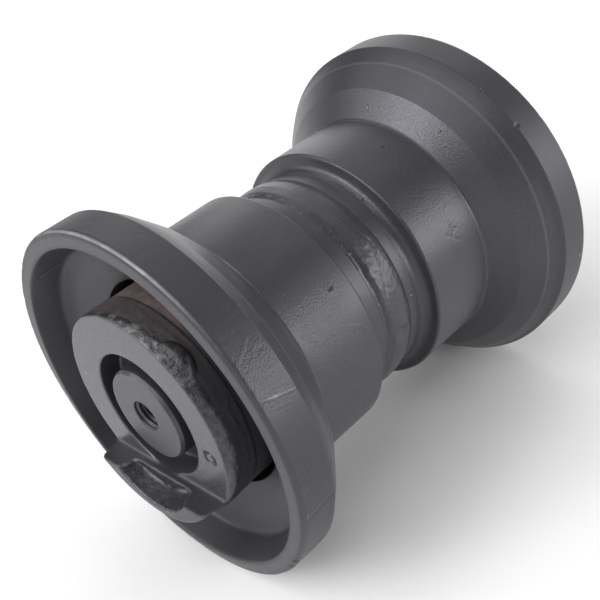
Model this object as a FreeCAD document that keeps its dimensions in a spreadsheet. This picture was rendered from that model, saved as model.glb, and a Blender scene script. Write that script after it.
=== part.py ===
import FreeCAD, Part
import os
import re
import Sketcher

# Track roller: a welded two-piece shell turning on a fixed shaft, with a pinned collar at each end.
# Millimetres. The roller's axis is Y, the shaft's middle is the origin and the collar ledges are at -Z.
# Every end piece is drawn for the +Y end and turned half a turn about Z for the -Y end.

os.makedirs("parts", exist_ok=True)

doc = FreeCAD.newDocument("track_roller")
sheet = doc.addObject("Spreadsheet::Sheet", "Dims")

# "place" is a distance from the middle of the roller along its axis.
DIMENSIONS = [
    # shell, outside
    ("shell_half_length", 95.0, "middle of the shell to the flange's end face"),
    ("flange_radius", 82.5, "flange outside"),
    ("flange_round", 1.8, "broken edge round the flange"),
    ("flange_back_place", 78.7, "inner edge of the flange's rim"),
    ("guide_outer_radius", 76.5, "outer crease of the guide slope"),
    ("guide_outer_place", 74.1, ""),
    ("guide_inner_radius", 68.3, "inner crease of the guide slope"),
    ("guide_inner_place", 65.0, ""),
    ("tread_radius", 57.5, "surface the chain rail runs on"),
    ("tread_outer_place", 54.9, ""),
    ("tread_inner_place", 19.3, ""),
    ("neck_radius", 50.6, "waist between the two treads"),
    ("neck_edge_place", 13.6, "where the waist's hollow corner starts"),
    ("neck_corner", 3.6, "hollow corner between waist and tread end"),
    ("weld_half_width", 8.6, "half width of the joint weld at the surface"),
    ("weld_root_radius", 44.0, "bottom of the weld groove"),
    ("weld_crown", 1.5, "height of the bead over the waist"),
    # shell, end recess
    ("rim_inner_radius", 75.1, "mouth of the end recess"),
    ("recess_corner_radius", 70.0, "foot of the recess wall"),
    ("recess_corner_place", 82.5, ""),
    ("dust_bore_radius", 49.6, "opening round the collar's hub"),
    ("dust_bore_place", 74.5, "outer end of that opening"),
    # shaft
    ("shaft_radius", 21.0, ""),
    ("shaft_half_length", 97.5, ""),
    ("shaft_edge", 1.0, "chamfer at the shaft's ends, radially"),
    ("thrust_radius", 29.0, "thrust shoulder at mid shaft"),
    ("thrust_half_width", 4.4, ""),
    ("thread_bore_radius", 6.0, "M14 thread, core of the hole"),
    ("thread_mouth_radius", 7.4, ""),
    ("thread_depth", 30.0, "from the shaft's end"),
    ("plug_radius", 5.0, "oil plug behind the mounting thread"),
    ("plug_length", 8.0, ""),
    ("plug_hex", 5.0, "key size across flats"),
    ("plug_hex_depth", 4.0, ""),
    ("plug_pocket_depth", 9.5, ""),
    ("oil_way_radius", 3.0, ""),
    # bush
    ("bush_clearance", 0.05, "radial running clearance on the shaft"),
    ("bush_radius", 24.5, "pressed into the shell"),
    ("bush_end_place", 48.0, ""),
    ("bush_flange_radius", 30.0, ""),
    ("bush_flange_start", 4.5, "thrust face, 0.1 clear of the shoulder"),
    ("bush_flange_end", 8.0, ""),
    # seals
    ("seal_plane", 62.0, "where the two metal rings meet"),
    ("seal_gap", 0.02, "oil film, each side of that plane"),
    ("seal_housing_radius", 40.0, ""),
    ("seal_housing_depth", 10.0, "from the seal plane, both ways"),
    ("seal_ring_inner", 30.5, ""),
    ("seal_ring_outer", 38.5, ""),
    ("seal_ring_ramp", 33.5, "outside of the ring's body"),
    ("seal_ring_face", 2.5, "thickness of the ring's face flange"),
    ("seal_ring_length", 7.6, ""),
    ("toric_radius", 36.65, "middle of the rubber ring"),
    ("toric_section", 3.3, "section radius of the rubber ring"),
    ("toric_offset", 6.4, "from the seal plane"),
    # collar
    ("collar_start", 63.5, "inner end of the collar"),
    ("collar_face_place", 96.8, "outer face of the collar"),
    ("collar_face_radius", 46.1, ""),
    ("collar_radius", 47.3, "forged rim of the collar"),
    ("collar_slope", 2.4, "drawn edge between face and rim, along the axis"),
    ("hub_radius", 46.6, "hub that runs into the shell"),
    ("hub_end_place", 83.0, "where the hub meets the collar's rim"),
    ("collar_nose_radius", 29.5, "inside the fixed seal ring"),
    ("counterbore_radius", 28.8, ""),
    ("counterbore_floor", 86.2, ""),
    ("ledge_height", 28.5, "below the axis"),
    ("ledge_place", 108.5, "outer end of the ledge"),
    ("scoop_radius", 27.5, "hollow in the ledge for a bracket"),
    ("scoop_drop", 12.3, "centre of the hollow below the axis"),
    ("scoop_place", 100.6, "back wall of the hollow"),
    # shaft-to-collar O-ring and pin
    ("o_ring_place", 67.6, ""),
    ("o_ring_section", 1.25, ""),
    ("o_ring_groove", 1.5, "half width of its groove"),
    ("pin_radius", 4.0, ""),
    ("pin_place", 79.0, ""),
    ("pin_drop", 21.0, "below the axis: half in the shaft, half in the collar"),
    ("pin_tip", 12.0, "blind end of the pin past the middle"),
    ("pin_length", 50.0, ""),
]

for row, (alias, value, note) in enumerate(DIMENSIONS, start=1):
    sheet.set("A%d" % row, alias)
    sheet.set("B%d" % row, str(value))
    sheet.set("C%d" % row, note)
    sheet.setAlias("B%d" % row, alias)
doc.recompute()

HALF_TURN = FreeCAD.Rotation(FreeCAD.Vector(0, 0, 1), 180)
Z_TO_Y = FreeCAD.Rotation(FreeCAD.Vector(1, 0, 0), -90)
EXPORTED = []


def value_of(expression):
    """The number a spreadsheet expression stands for now."""
    return float(sheet.evalExpression(expression))


def in_sheet(expression):
    """The same expression as another object has to write it."""
    return re.sub(r"[a-z]\w*", r"Dims.\g<0>", expression)


def placed(end):
    """Where an end piece sits: as drawn for the far end, half a turn round for the near one."""
    return FreeCAD.Placement(FreeCAD.Vector(0, 0, 0), HALF_TURN if end == "near" else FreeCAD.Rotation())


def new_body(name, label, end="far"):
    body = doc.addObject("PartDesign::Body", name)
    body.Label = label
    body.Placement = placed(end)
    EXPORTED.append((body, name))
    return body


def plane(body, role):
    return [item for item in body.Origin.OriginFeatures if item.Role == role][0]


def new_sketch(body, name, role, offset="0"):
    sketch = body.newObject("Sketcher::SketchObject", name)
    sketch.AttachmentSupport = (plane(body, role), "")
    sketch.MapMode = "FlatFace"
    sketch.setExpression("AttachmentOffset.Base.z", in_sheet(offset))
    return sketch


def bind(sketch, kind, first, first_end, second, second_end, expression):
    """One driving dimension of a sketch, held to the spreadsheet."""
    start = value_of(expression)
    index = sketch.addConstraint(Sketcher.Constraint(kind, first, first_end, second, second_end, start))
    sketch.setExpression("Constraints[%d]" % index, in_sheet(expression))


def outline(sketch, points):
    """Closed outline through (across, along) points given as spreadsheet expressions."""
    count = len(points)
    known = [FreeCAD.Vector(value_of(across), value_of(along), 0) for across, along in points]
    for i in range(count):
        sketch.addGeometry(Part.LineSegment(known[i], known[(i + 1) % count]), False)
    for i in range(count):
        sketch.addConstraint(Sketcher.Constraint("Coincident", i, 2, (i + 1) % count, 1))
    for i, (across, along) in enumerate(points):
        if across == "0":
            sketch.addConstraint(Sketcher.Constraint("PointOnObject", i, 1, -2))
        else:
            bind(sketch, "DistanceX", -1, 1, i, 1, across)
        if along == "0":
            sketch.addConstraint(Sketcher.Constraint("PointOnObject", i, 1, -1))
        else:
            bind(sketch, "DistanceY", -1, 1, i, 1, along)


def disc(sketch, radius, across, along):
    """One circle of a sketch, its radius and centre held to the spreadsheet."""
    centre = FreeCAD.Vector(value_of(across), value_of(along), 0)
    circle = sketch.addGeometry(Part.Circle(centre, FreeCAD.Vector(0, 0, 1), value_of(radius)), False)
    index = sketch.addConstraint(Sketcher.Constraint("Radius", circle, value_of(radius)))
    sketch.setExpression("Constraints[%d]" % index, in_sheet(radius))
    if across == "0":
        sketch.addConstraint(Sketcher.Constraint("PointOnObject", circle, 3, -2))
    else:
        bind(sketch, "DistanceX", -1, 1, circle, 3, across)
    if along == "0":
        sketch.addConstraint(Sketcher.Constraint("PointOnObject", circle, 3, -1))
    else:
        bind(sketch, "DistanceY", -1, 1, circle, 3, along)


def turned(body, name, points):
    """Revolve (radius, place) points about the roller's axis."""
    sketch = new_sketch(body, name + "_outline", "XY_Plane")
    outline(sketch, points)
    feature = body.newObject("PartDesign::Revolution", name + "_turned")
    feature.Profile = sketch
    feature.ReferenceAxis = (sketch, ["V_Axis"])
    feature.Angle = 360
    sketch.Visibility = False
    doc.recompute()
    return feature


def cut(body, name, sketch, length, both_ways=False, inwards=False):
    """Pocket a sketch, and make sure that it really takes material away."""
    before = body.Shape.Volume
    pocket = body.newObject("PartDesign::Pocket", name)
    pocket.Profile = sketch
    pocket.Midplane = both_ways
    pocket.Reversed = inwards
    pocket.setExpression("Length", in_sheet(length))
    sketch.Visibility = False
    doc.recompute()
    if not body.Shape.Volume < before - 1.0:
        raise RuntimeError(name + " cuts nothing")
    return pocket


# --- shell -----------------------------------------------------------------------------------

SHELL_OUTLINE = [
    ("weld_root_radius", "0"),
    ("neck_radius", "weld_half_width"),
    ("neck_radius", "neck_edge_place"),
    ("neck_radius + neck_corner * 0.3", "neck_edge_place + neck_corner * 0.7"),
    ("neck_radius + neck_corner", "tread_inner_place - 0.8"),
    ("tread_radius - 0.8", "tread_inner_place - 0.4"),
    ("tread_radius", "tread_inner_place + 0.4"),
    ("tread_radius", "tread_outer_place"),
    ("guide_inner_radius", "guide_inner_place"),
    ("guide_outer_radius", "guide_outer_place"),
    ("flange_radius", "flange_back_place"),
    ("flange_radius", "shell_half_length - flange_round"),
    ("flange_radius - flange_round", "shell_half_length"),
    ("rim_inner_radius", "shell_half_length"),
    ("recess_corner_radius", "recess_corner_place"),
    ("dust_bore_radius", "dust_bore_place"),
    ("dust_bore_radius", "seal_plane"),
    ("seal_housing_radius", "seal_plane"),
    ("seal_housing_radius", "seal_plane - seal_housing_depth"),
    ("bush_radius + 3", "seal_plane - seal_housing_depth"),
    ("bush_radius", "bush_end_place"),
    ("bush_radius", "bush_flange_end"),
    ("bush_flange_radius", "bush_flange_end"),
    ("bush_flange_radius", "0"),
]

for end in ("near", "far"):
    shell = new_body("shell_half_" + end, "Shell half, %s end" % end, end)
    turned(shell, "shell_" + end, SHELL_OUTLINE)

weld = new_body("weld_bead", "Joint weld between the shell halves")
turned(weld, "weld", [
    ("weld_root_radius", "0"),
    ("neck_radius", "-weld_half_width"),
    ("neck_radius + weld_crown * 0.7", "-weld_half_width * 0.55"),
    ("neck_radius + weld_crown", "0"),
    ("neck_radius + weld_crown * 0.7", "weld_half_width * 0.55"),
    ("neck_radius", "weld_half_width"),
])

# --- shaft -----------------------------------------------------------------------------------

shaft = new_body("shaft", "Shaft with thrust shoulder")
turned(shaft, "shaft", [
    ("0", "-shaft_half_length + thread_depth + thread_bore_radius * 0.5"),
    ("thread_bore_radius", "-shaft_half_length + thread_depth"),
    ("thread_bore_radius", "-shaft_half_length + 1.4"),
    ("thread_mouth_radius", "-shaft_half_length"),
    ("shaft_radius - shaft_edge", "-shaft_half_length"),
    ("shaft_radius", "-shaft_half_length + shaft_edge * 1.6"),
    ("shaft_radius", "-thrust_half_width"),
    ("thrust_radius", "-thrust_half_width"),
    ("thrust_radius", "thrust_half_width"),
    ("shaft_radius", "thrust_half_width"),
    ("shaft_radius", "shaft_half_length - shaft_edge * 1.6"),
    ("shaft_radius - shaft_edge", "shaft_half_length"),
    ("thread_mouth_radius", "shaft_half_length"),
    ("thread_bore_radius", "shaft_half_length - 1.4"),
    ("thread_bore_radius", "shaft_half_length - thread_depth"),
    ("plug_radius", "shaft_half_length - thread_depth"),
    ("plug_radius", "shaft_half_length - thread_depth - plug_pocket_depth"),
    ("oil_way_radius", "shaft_half_length - thread_depth - plug_pocket_depth"),
    ("oil_way_radius", "-oil_way_radius"),
    ("0", "-oil_way_radius * 1.6"),
])

cross_way = new_sketch(shaft, "cross_oil_way", "XY_Plane")
disc(cross_way, "oil_way_radius", "0", "0")
cut(shaft, "cross_oil_way_cut", cross_way, "thrust_radius * 2 + 4", both_ways=True)

pin_notches = new_sketch(shaft, "pin_notches", "YZ_Plane")
disc(pin_notches, "pin_radius", "pin_place", "-pin_drop")
disc(pin_notches, "pin_radius", "-pin_place", "-pin_drop")
cut(shaft, "pin_notches_cut", pin_notches, "shaft_radius * 2 + 4", both_ways=True)

# --- bushes ----------------------------------------------------------------------------------

BUSH_OUTLINE = [
    ("shaft_radius + bush_clearance", "bush_flange_start"),
    ("bush_flange_radius", "bush_flange_start"),
    ("bush_flange_radius", "bush_flange_end"),
    ("bush_radius", "bush_flange_end"),
    ("bush_radius", "bush_end_place"),
    ("shaft_radius + bush_clearance", "bush_end_place"),
]

for end in ("near", "far"):
    bush = new_body("bush_" + end, "Flanged bronze bush, %s end" % end, end)
    turned(bush, "bush_" + end, BUSH_OUTLINE)

# --- collars ---------------------------------------------------------------------------------

COLLAR_OUTLINE = [
    ("shaft_radius", "collar_start"),
    ("collar_nose_radius", "collar_start"),
    ("collar_nose_radius", "seal_plane + seal_housing_depth"),
    ("seal_housing_radius", "seal_plane + seal_housing_depth"),
    ("seal_housing_radius", "collar_start"),
    ("hub_radius", "collar_start"),
    ("hub_radius", "hub_end_place"),
    ("collar_radius", "hub_end_place + 1.0"),
    ("collar_radius", "collar_face_place - collar_slope"),
    ("collar_face_radius", "collar_face_place"),
    ("counterbore_radius", "collar_face_place"),
    ("counterbore_radius", "counterbore_floor"),
    ("shaft_radius", "counterbore_floor"),
    ("shaft_radius", "o_ring_place + o_ring_groove"),
    ("shaft_radius + o_ring_section * 2 + 0.02", "o_ring_place + o_ring_groove"),
    ("shaft_radius + o_ring_section * 2 + 0.02", "o_ring_place - o_ring_groove"),
    ("shaft_radius", "o_ring_place - o_ring_groove"),
]


def add_ledge(body, end):
    """The collar's own round carried outwards, below the flat that the track frame sits on."""
    sketch = new_sketch(body, "ledge_%s_section" % end, "XZ_Plane", "-collar_face_place + 4")
    radius = value_of("collar_face_radius")
    height = value_of("ledge_height")
    half_flat = (radius ** 2 - height ** 2) ** 0.5
    left = FreeCAD.Vector(-half_flat, -height, 0)
    right = FreeCAD.Vector(half_flat, -height, 0)
    flat = sketch.addGeometry(Part.LineSegment(left, right), False)
    bottom = FreeCAD.Vector(0, -radius, 0)
    arc = sketch.addGeometry(Part.Arc(left, bottom, right), False)
    sketch.addConstraint(Sketcher.Constraint("Coincident", arc, 3, -1, 1))
    sketch.addConstraint(Sketcher.Constraint("Coincident", arc, 1, flat, 1))
    sketch.addConstraint(Sketcher.Constraint("Coincident", arc, 2, flat, 2))
    sketch.addConstraint(Sketcher.Constraint("Horizontal", flat))
    index = sketch.addConstraint(Sketcher.Constraint("Radius", arc, radius))
    sketch.setExpression("Constraints[%d]" % index, in_sheet("collar_face_radius"))
    bind(sketch, "DistanceY", -1, 1, flat, 1, "-ledge_height")
    before = body.Shape.Volume
    pad = body.newObject("PartDesign::Pad", "ledge_" + end)
    pad.Profile = sketch
    pad.Reversed = True
    pad.setExpression("Length", in_sheet("ledge_place - collar_face_place + 4"))
    sketch.Visibility = False
    doc.recompute()
    if not body.Shape.Volume > before + 1.0:
        raise RuntimeError("the ledge adds nothing")


for end in ("near", "far"):
    collar = new_body("collar_" + end, "End collar with ledge, %s end" % end, end)
    turned(collar, "collar_" + end, COLLAR_OUTLINE)
    add_ledge(collar, end)

    scoop = new_sketch(collar, "scoop_%s_section" % end, "XZ_Plane", "-ledge_place - 2")
    disc(scoop, "scoop_radius", "0", "-scoop_drop")
    cut(collar, "scoop_" + end, scoop, "ledge_place + 2 - scoop_place", inwards=True)

    pin_hole = new_sketch(collar, "pin_hole_%s_section" % end, "YZ_Plane", "-pin_tip")
    disc(pin_hole, "pin_radius", "pin_place", "-pin_drop")
    cut(collar, "pin_hole_" + end, pin_hole, "collar_radius + pin_tip + 4", inwards=True)

# --- seals -----------------------------------------------------------------------------------


def seal_ring_outline(away):
    """A metal face ring; away is '-' for the ring in the shell and '+' for the one in the collar."""
    face = "seal_plane %s seal_gap" % away
    back_of_face = "seal_plane %s seal_ring_face" % away
    foot_of_face = "seal_plane %s (seal_ring_face + 0.9)" % away
    back = "seal_plane %s seal_ring_length" % away
    return [
        ("seal_ring_inner", face),
        ("seal_ring_outer", face),
        ("seal_ring_outer", back_of_face),
        ("seal_ring_ramp", foot_of_face),
        ("seal_ring_ramp - 0.5", back),
        ("seal_ring_inner", back),
    ]


def rubber_ring(name, label, ring_radius, section, place, end):
    """A rubber ring about the roller's axis."""
    ring = doc.addObject("Part::Torus", name)
    ring.Label = label
    side = "-1" if end == "near" else "1"
    ring.Placement = FreeCAD.Placement(FreeCAD.Vector(0, 0, 0), Z_TO_Y)
    ring.setExpression("Radius1", in_sheet(ring_radius))
    ring.setExpression("Radius2", in_sheet(section))
    ring.setExpression("Placement.Base.y", in_sheet("%s * ( %s )" % (side, place)))
    EXPORTED.append((ring, name))
    return ring


SEAL_SIDES = {
    "rotating": ("-", "turning with the shell"),
    "fixed": ("+", "held by the collar"),
}

for end in ("near", "far"):
    for side, (away, words) in SEAL_SIDES.items():
        ring_name = "seal_ring_%s_%s" % (side, end)
        ring = new_body(ring_name, "Metal seal ring %s, %s end" % (words, end), end)
        turned(ring, ring_name, seal_ring_outline(away))
        rubber_ring("seal_rubber_%s_%s" % (side, end), "Rubber ring behind the seal ring %s, %s end" % (words, end),
                    "toric_radius", "toric_section", "seal_plane %s toric_offset" % away, end)
    rubber_ring("collar_o_ring_" + end, "O-ring between shaft and collar, %s end" % end,
                "shaft_radius + o_ring_section + 0.01", "o_ring_section", "o_ring_place", end)

# --- pins and plug ---------------------------------------------------------------------------

pins = []
for end, side in (("near", 1), ("far", -1)):
    pin = doc.addObject("Part::Cylinder", "lock_pin_" + end)
    pin.Label = "Lock pin, %s end" % end
    pin.Placement = FreeCAD.Placement(FreeCAD.Vector(0, 0, 0), FreeCAD.Rotation(FreeCAD.Vector(0, 1, 0), 90))
    pin.setExpression("Radius", in_sheet("pin_radius"))
    pin.setExpression("Height", in_sheet("pin_length"))
    start = "-pin_tip" if end == "far" else "pin_tip - pin_length"
    pin.setExpression("Placement.Base.x", in_sheet(start))
    pin.setExpression("Placement.Base.y", in_sheet("%d * pin_place" % -side))
    pin.setExpression("Placement.Base.z", in_sheet("-pin_drop"))
    pins.append(pin)
lock_pins = doc.addObject("Part::Compound", "collar_lock_pins")
lock_pins.Label = "Lock pins, one through each collar"
lock_pins.Links = pins
EXPORTED.append((lock_pins, "collar_lock_pins"))

plug = new_body("oil_plug", "Oil plug with a hexagon key socket")
turned(plug, "plug", [
    ("0", "shaft_half_length - thread_depth - 2.5"),
    ("plug_radius", "shaft_half_length - thread_depth - 2.5"),
    ("plug_radius", "shaft_half_length - thread_depth + 1.5 - plug_length"),
    ("plug_radius - 2", "shaft_half_length - thread_depth + 1.5 - plug_length"),
    ("plug_radius - 2", "shaft_half_length - thread_depth - plug_pocket_depth + 0.5"),
    ("0", "shaft_half_length - thread_depth - plug_pocket_depth + 0.5"),
])
key_socket = new_sketch(plug, "key_socket", "XZ_Plane", "-shaft_half_length + thread_depth + 2.5")
half_key = value_of("plug_hex / 2")
corner = half_key / 0.8660254
hexagon = [FreeCAD.Vector(corner, 0, 0)]
for step in range(1, 6):
    hexagon.append(FreeCAD.Rotation(FreeCAD.Vector(0, 0, 1), 60 * step).multVec(hexagon[0]))
for i in range(6):
    key_socket.addGeometry(Part.LineSegment(hexagon[i], hexagon[(i + 1) % 6]), False)
guide = key_socket.addGeometry(Part.Circle(FreeCAD.Vector(0, 0, 0), FreeCAD.Vector(0, 0, 1), corner), True)
for i in range(6):
    key_socket.addConstraint(Sketcher.Constraint("Coincident", i, 2, (i + 1) % 6, 1))
    key_socket.addConstraint(Sketcher.Constraint("PointOnObject", i, 1, guide))
    if i:
        key_socket.addConstraint(Sketcher.Constraint("Equal", 0, i))
key_socket.addConstraint(Sketcher.Constraint("Coincident", guide, 3, -1, 1))
key_socket.addConstraint(Sketcher.Constraint("PointOnObject", 0, 1, -1))
size = key_socket.addConstraint(Sketcher.Constraint("Radius", guide, corner))
key_socket.setExpression("Constraints[%d]" % size, "Dims.plug_hex / 2 / cos(30 deg)")
cut(plug, "key_socket_cut", key_socket, "plug_hex_depth", inwards=True)

rubber_ring("oil_plug_seal", "O-ring on the oil plug's nose", "plug_radius - 1.05", "0.9",
            "shaft_half_length - thread_depth - plug_pocket_depth + 1.1", "far")

# --- check and export ------------------------------------------------------------------------

doc.recompute()

for item in doc.Objects:
    if "Invalid" in item.State or "Error" in item.State:
        raise RuntimeError("%s is %s" % (item.Name, item.State))

for item, node in EXPORTED:
    if item.Shape.isNull() or not item.Shape.isValid():
        raise RuntimeError("%s has no valid shape" % node)
    item.Shape.exportStep("parts/%s.step" % node)
    box = item.Shape.BoundBox
    print("%-26s %8.0f mm3  x %7.2f %7.2f  y %7.2f %7.2f  z %7.2f %7.2f" % (
        node, item.Shape.Volume, box.XMin, box.XMax, box.YMin, box.YMax, box.ZMin, box.ZMax))
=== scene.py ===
import math

import bpy
import numpy as np
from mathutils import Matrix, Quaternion, Vector


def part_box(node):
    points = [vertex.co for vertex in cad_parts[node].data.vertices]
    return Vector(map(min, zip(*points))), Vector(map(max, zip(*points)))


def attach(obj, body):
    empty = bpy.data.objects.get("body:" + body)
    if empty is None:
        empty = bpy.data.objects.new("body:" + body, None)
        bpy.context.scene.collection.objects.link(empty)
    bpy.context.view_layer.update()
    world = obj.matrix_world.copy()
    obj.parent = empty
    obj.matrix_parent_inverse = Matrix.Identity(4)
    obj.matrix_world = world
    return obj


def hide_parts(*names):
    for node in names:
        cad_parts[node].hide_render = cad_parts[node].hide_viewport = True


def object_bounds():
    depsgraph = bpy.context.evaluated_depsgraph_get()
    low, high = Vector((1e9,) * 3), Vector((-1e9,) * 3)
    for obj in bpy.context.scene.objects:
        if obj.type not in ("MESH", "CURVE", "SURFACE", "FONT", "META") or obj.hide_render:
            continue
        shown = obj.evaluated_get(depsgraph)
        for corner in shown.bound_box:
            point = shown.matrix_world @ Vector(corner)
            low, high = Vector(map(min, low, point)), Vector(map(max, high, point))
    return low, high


# Track roller in dark paint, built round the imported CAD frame. Shapes are drawn in millimetres in the
# roller's own terms and scaled once: "radius" from the axis, "place" along it from the middle, and
# "turn" in degrees round it, 0 at +X and 90 at +Z. The near end is at -Y and the far end at +Y.

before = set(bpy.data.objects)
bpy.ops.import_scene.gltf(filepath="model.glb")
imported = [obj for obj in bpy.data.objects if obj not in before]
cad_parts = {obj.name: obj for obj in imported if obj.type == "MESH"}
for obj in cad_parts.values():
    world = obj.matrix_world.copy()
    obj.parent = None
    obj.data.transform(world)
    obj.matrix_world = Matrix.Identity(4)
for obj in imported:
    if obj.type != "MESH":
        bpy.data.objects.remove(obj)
cad_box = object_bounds()

MM = 0.001

# --- sizes, the same as in the CAD -----------------------------------------------------------

FLANGE_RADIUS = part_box("shell_half_near")[1].x / MM
HALF_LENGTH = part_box("shell_half_far")[1].y / MM
SHAFT_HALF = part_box("shaft")[1].y / MM
LEDGE_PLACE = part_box("collar_far")[1].y / MM
COLLAR_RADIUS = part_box("collar_far")[1].x / MM
THRUST_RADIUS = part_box("shaft")[1].x / MM

TREAD_RADIUS = 57.5
NECK_RADIUS = 50.6
WELD_HALF = 8.6
WELD_ROOT = 44.0
WELD_CROWN = 1.5
DUST_BORE = 49.6
DUST_PLACE = 74.5
SEAL_PLANE = 62.0
SEAL_RADIUS = 40.0
SEAL_DEPTH = 10.0
BUSH_RADIUS = 24.5
BUSH_END = 48.0
BUSH_FLANGE = 30.0
BUSH_FLANGE_END = 8.0
SHAFT_RADIUS = 21.0
THREAD_LENGTH = 30.0
COLLAR_FACE = 96.8
COLLAR_FACE_RADIUS = 46.1
COLLAR_START = 63.5
HUB_RADIUS = 46.6
HUB_END = 83.0
POCKET_RADIUS = 28.8
POCKET_FLOOR = 86.2
LEDGE_HEIGHT = 28.5
SCOOP_RADIUS = 27.5
SCOOP_DROP = 12.3
SCOOP_PLACE = 100.6
NOSE_RADIUS = 29.5
PIN_RADIUS = 4.0
PIN_PLACE = 79.0
PIN_DROP = 21.0

# Sizes the CAD hasn't got. It has a plain core hole for the thread, a hollow in the ledge that is
# straight and deeper at the back, and no punched mark.
THREAD_ROOT = 7.2
THREAD_DEPTH = 1.1
THREAD_PITCH = 2.0
SCOOP_BACK_RADIUS = 28.6
SCOOP_BACK_DROP = 6.9
MARK_X = 35.9
MARK_Z = -6.3
MARK_RADIUS = 2.8

# --- noise -----------------------------------------------------------------------------------


def lattice(cell, seed):
    """A fixed number from -1 to 1 for each whole-number cell."""
    x, y, z = (cell[..., i].astype(np.int64) for i in range(3))
    mixed = (x * 374761393 + y * 668265263 + z * 1274126177 + seed * 69069 + 12345) & 0xFFFFFFFF
    mixed = ((mixed ^ (mixed >> 13)) * 1103515245) & 0xFFFFFFFF
    mixed = ((mixed ^ (mixed >> 16)) * 69069) & 0xFFFFFFFF
    return ((mixed >> 8) & 0xFFFF) / 32767.5 - 1.0


def noise(points, size, seed=0):
    """Smooth noise from -1 to 1 whose lumps are about one size across."""
    scaled = points / size
    cell = np.floor(scaled)
    part = scaled - cell
    blend = part * part * (3 - 2 * part)
    total = np.zeros(points.shape[:-1])
    for corner in range(8):
        step = np.array([corner & 1, corner >> 1 & 1, corner >> 2 & 1])
        weight = np.prod(np.where(step, blend, 1 - blend), axis=-1)
        total += weight * lattice(cell + step, seed)
    return total


def layered(points, size, layers, seed=0, fade=0.5):
    """Noise with finer and fainter layers on top."""
    total = np.zeros(points.shape[:-1])
    strength = 1.0
    for layer in range(layers):
        total += strength * noise(points, size * 0.5**layer, seed + layer)
        strength *= fade
    return total


def ease(low, high, value):
    """0 below low, 1 above high and smooth between. low may be the larger."""
    t = np.clip((value - low) / (high - low), 0, 1)
    return t * t * (3 - 2 * t)


# --- meshes ----------------------------------------------------------------------------------


def new_piece(name, points, faces, body, slot, *stands_for, marks=None):
    """A smooth-shaded mesh from points in millimetres, riding on a body. marks are named values from
    0 to 1 at each point, for its material to read."""
    mesh = bpy.data.meshes.new(name)
    mesh.vertices.add(len(points))
    mesh.vertices.foreach_set("co", (points * MM).astype(np.float32).ravel())
    mesh.loops.add(faces.size)
    mesh.loops.foreach_set("vertex_index", faces.astype(np.int32).ravel())
    mesh.polygons.add(len(faces))
    mesh.polygons.foreach_set("loop_start", np.arange(len(faces), dtype=np.int32) * faces.shape[1])
    mesh.update(calc_edges=True)
    for mark, values in (marks or {}).items():
        layer = mesh.attributes.new(mark, "FLOAT", "POINT")
        layer.data.foreach_set("value", values.astype(np.float32).ravel())
    mesh.validate()
    mesh.polygons.foreach_set("use_smooth", np.ones(len(mesh.polygons), dtype=bool))
    piece = bpy.data.objects.new(name, mesh)
    bpy.context.scene.collection.objects.link(piece)
    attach(piece, body)
    if stands_for:
        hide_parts(*stands_for)
    return piece


def rounded(corners, spacing=1.0):
    """A closed outline through (radius, place, rounding[, spacing]) corners, evenly divided."""
    count = len(corners)
    path = []
    for i, corner in enumerate(corners):
        here = np.array(corner[:2], float)
        before = np.array(corners[i - 1][:2], float)
        after = np.array(corners[(i + 1) % count][:2], float)
        rounding = corner[2]
        pitch = corner[3] if len(corner) > 3 else spacing
        back = (before - here) / np.linalg.norm(before - here)
        on = (after - here) / np.linalg.norm(after - here)
        half = math.acos(np.clip(np.dot(back, on), -1, 1)) / 2
        if rounding <= 0 or abs(half - math.pi / 2) < 0.01:
            path.append((here, pitch))
            continue
        reach = rounding / math.tan(half)
        centre = here + (back + on) / np.linalg.norm(back + on) * rounding / math.sin(half)
        first, last = here + back * reach - centre, here + on * reach - centre
        sweep = math.pi - 2 * half
        steps = max(3, int(math.ceil(sweep / 0.26)))
        for k in range(steps + 1):
            t = k / steps
            arm = (first * math.sin(sweep * (1 - t)) + last * math.sin(sweep * t)) / math.sin(sweep)
            path.append((centre + arm, pitch))
    points = []
    for i, (here, pitch) in enumerate(path):
        after = path[(i + 1) % len(path)][0]
        pieces = max(1, int(math.ceil(np.linalg.norm(after - here) / pitch)))
        points += [here + (after - here) * k / pieces for k in range(pieces)]
    return np.array(points)


def turned(name, outline, segments, body, slot, stands_for, shape):
    """An outline of (radius, place) points turned about the axis. shape(turn, radius, place, points)
    gives how far each point moves out along its normal, and its marks."""
    turn = np.arange(segments) / segments * 360
    angle = np.radians(turn)[None, :]
    radius = outline[:, 0][:, None] + 0 * angle
    place = outline[:, 1][:, None] + 0 * angle
    ahead = np.roll(outline, -1, axis=0) - np.roll(outline, 1, axis=0)
    ahead /= np.maximum(np.linalg.norm(ahead, axis=1, keepdims=True), 1e-9)
    area = np.sum(outline[:, 0] * np.roll(outline[:, 1], -1) - np.roll(outline[:, 0], -1) * outline[:, 1])
    out = np.stack([ahead[:, 1], -ahead[:, 0]], axis=1) * np.sign(area)
    points = np.stack([radius * np.cos(angle), place, radius * np.sin(angle)], axis=-1)
    lift, marks = shape(turn[None, :] + 0 * radius, radius, place, points)
    radius = radius + lift * out[:, 0][:, None]
    place = place + lift * out[:, 1][:, None]
    points = np.stack([radius * np.cos(angle), place, radius * np.sin(angle)], axis=-1).reshape(-1, 3)
    rows, columns = len(outline), segments
    i = np.arange(rows)[:, None]
    j = np.arange(columns)[None, :]
    i2, j2 = (i + 1) % rows, (j + 1) % columns
    faces = np.stack([i * columns + j, i * columns + j2, i2 * columns + j2, i2 * columns + j], axis=-1)
    faces = faces.reshape(-1, 4)
    if area > 0:
        faces = faces[:, ::-1]
    return new_piece(name, points, faces, body, slot, *stands_for, marks=marks)


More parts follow.
